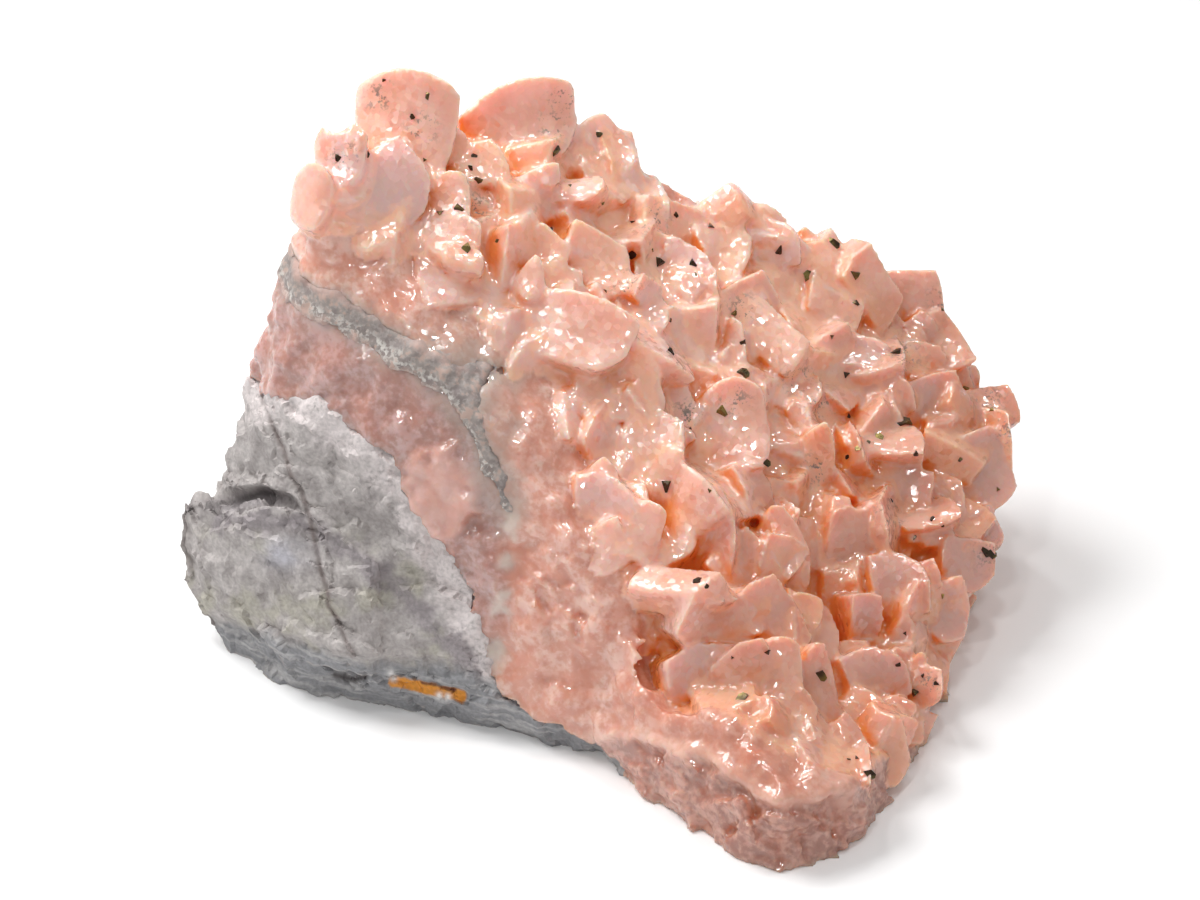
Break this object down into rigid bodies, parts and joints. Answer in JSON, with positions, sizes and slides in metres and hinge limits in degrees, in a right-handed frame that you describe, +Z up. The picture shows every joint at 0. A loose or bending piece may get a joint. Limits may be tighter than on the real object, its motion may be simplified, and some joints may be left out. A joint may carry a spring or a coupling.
{
  "type": "mineral specimen",
  "caption": "Lump of grey dolostone under a crust of curved pink saddle dolomite crystals, dotted with small dark brassy chalcopyrite crystals.",
  "frame": {"origin": "on the flat underside, under the middle of the lump", "axes": "+X across the front, from the grey end to the near tip of the crust; +Y to the back; +Z up"},
  "size_m": [0.0651, 0.0489, 0.0443],
  "materials": {
    "dolostone": "dull, fine-grained broken stone",
    "dolomite": "glassy to pearly translucent salmon-pink crystal",
    "seam": "dull granular grey-green",
    "chalcopyrite": "tarnished dark brassy metal lustre"
  },
  "bodies": {
    "root": {"matrix_rock": "dolostone", "dolomite_crust": "dolomite", "grey_seam": "seam", "chalcopyrite_01": "chalcopyrite", "chalcopyrite_02": "chalcopyrite", "chalcopyrite_03": "chalcopyrite", "chalcopyrite_04": "chalcopyrite", "chalcopyrite_05": "chalcopyrite", "chalcopyrite_06": "chalcopyrite", "chalcopyrite_07": "chalcopyrite", "chalcopyrite_08": "chalcopyrite", "chalcopyrite_09": "chalcopyrite", "chalcopyrite_10": "chalcopyrite", "chalcopyrite_11": "chalcopyrite", "chalcopyrite_12": "chalcopyrite", "chalcopyrite_13": "chalcopyrite", "chalcopyrite_14": "chalcopyrite", "chalcopyrite_15": "chalcopyrite", "chalcopyrite_16": "chalcopyrite", "chalcopyrite_17": "chalcopyrite", "chalcopyrite_18": "chalcopyrite", "chalcopyrite_19": "chalcopyrite", "chalcopyrite_20": "chalcopyrite", "chalcopyrite_21": "chalcopyrite", "chalcopyrite_22": "chalcopyrite", "chalcopyrite_23": "chalcopyrite", "chalcopyrite_24": "chalcopyrite", "chalcopyrite_25": "chalcopyrite", "chalcopyrite_26": "chalcopyrite", "chalcopyrite_27": "chalcopyrite", "chalcopyrite_28": "chalcopyrite", "chalcopyrite_29": "chalcopyrite", "chalcopyrite_30": "chalcopyrite", "chalcopyrite_31": "chalcopyrite", "chalcopyrite_32": "chalcopyrite"}
  },
  "joints": []
}
